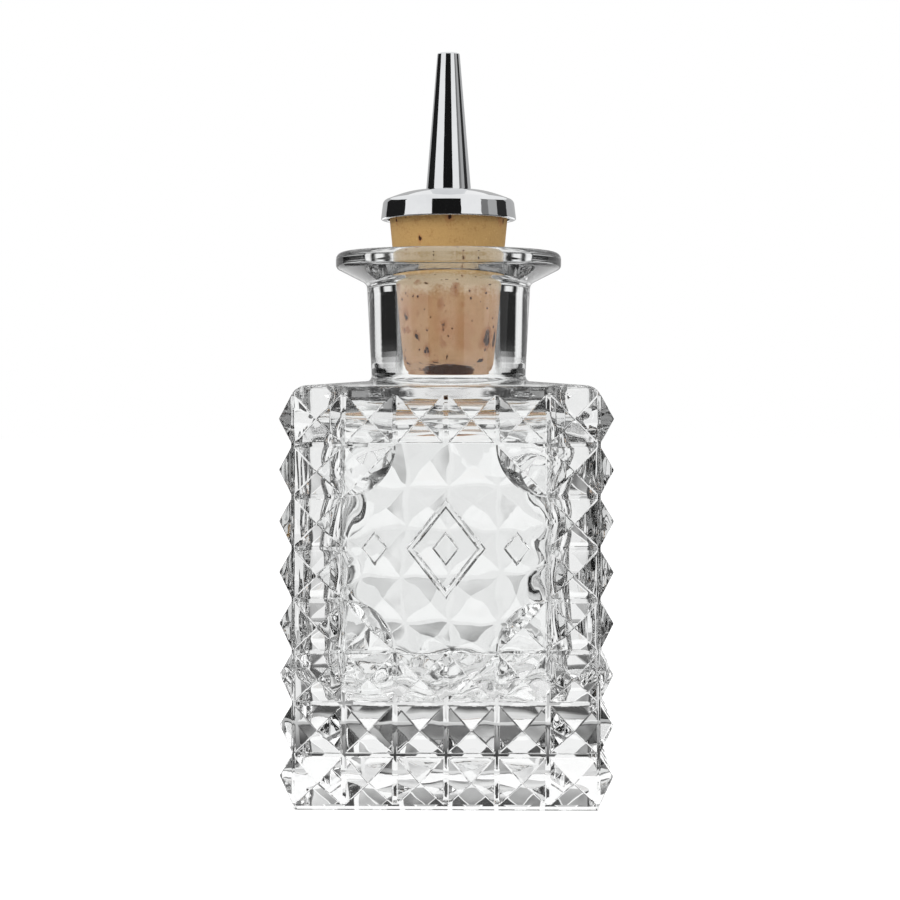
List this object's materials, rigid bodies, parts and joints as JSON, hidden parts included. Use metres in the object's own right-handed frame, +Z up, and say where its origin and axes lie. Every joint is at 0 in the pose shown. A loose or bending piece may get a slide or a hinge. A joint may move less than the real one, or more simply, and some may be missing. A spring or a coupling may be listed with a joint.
{
  "type": "bitters bottle",
  "caption": "Square clear glass bottle with studded faces, a flared neck and a tapered cork stopper that carries a domed metal cap and a long dash spout.",
  "frame": {"origin": "centre of the base, on the plane that the bottle stands on", "axes": "+Z up along the neck's axis, -Y out of the face with the plain panel, +X to the right of that face"},
  "size_m": [0.0596, 0.0596, 0.1372],
  "materials": {
    "clear_glass": "clear moulded glass, fire polished",
    "cork": "natural cork, fine sanded",
    "chrome": "mirror chrome plate",
    "plain_steel": "turned steel"
  },
  "bodies": {
    "bottle": {"glass_bottle": "clear_glass"},
    "stopper": {"cork_stopper": "cork"},
    "dash_head": {"flange_cap": "chrome", "spout_tube": "chrome", "ribbed_stem": "plain_steel", "dash_nozzle": "plain_steel"}
  },
  "joints": [
    {"name": "stopper_lift", "type": "slide", "parent": "bottle", "child": "stopper", "axis": [0, 0, 1], "range_m": [0, 0.035]},
    {"name": "head_pull", "type": "slide", "parent": "stopper", "child": "dash_head", "axis": [0, 0, 1], "range_m": [0, 0.018]}
  ]
}
